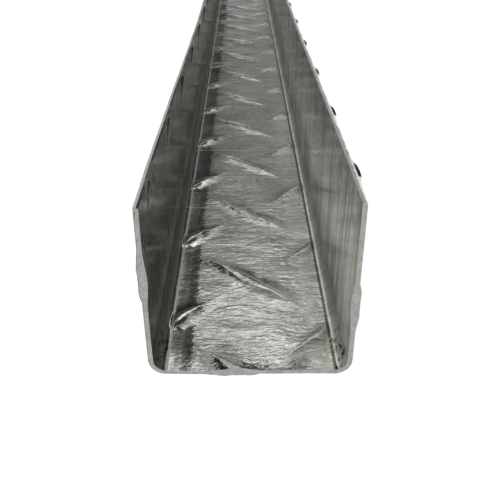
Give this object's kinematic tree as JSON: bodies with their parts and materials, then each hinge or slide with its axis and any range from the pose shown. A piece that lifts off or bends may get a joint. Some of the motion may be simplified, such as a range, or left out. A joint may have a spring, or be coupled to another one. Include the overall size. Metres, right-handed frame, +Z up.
{
  "type": "u-channel trim",
  "caption": "Straight U-channel trim bent from thin aluminium tread plate, with raised lens-shaped lugs outside and a smooth trough that takes a board's edge.",
  "frame": {"origin": "centre of the underside, on the plane of the web's lug crowns, half way along the length", "axes": "+Y along the channel, away from the end seen in the picture; +Z up, out of the open side; +X across, to the right in the picture"},
  "size_m": [0.047, 0.9144, 0.0419],
  "materials": {
    "channel_aluminium": "mill finish sheet, fine grain across the channel, scuffed and lightly stained"
  },
  "bodies": {
    "root": {"channel": "channel_aluminium"}
  },
  "joints": []
}
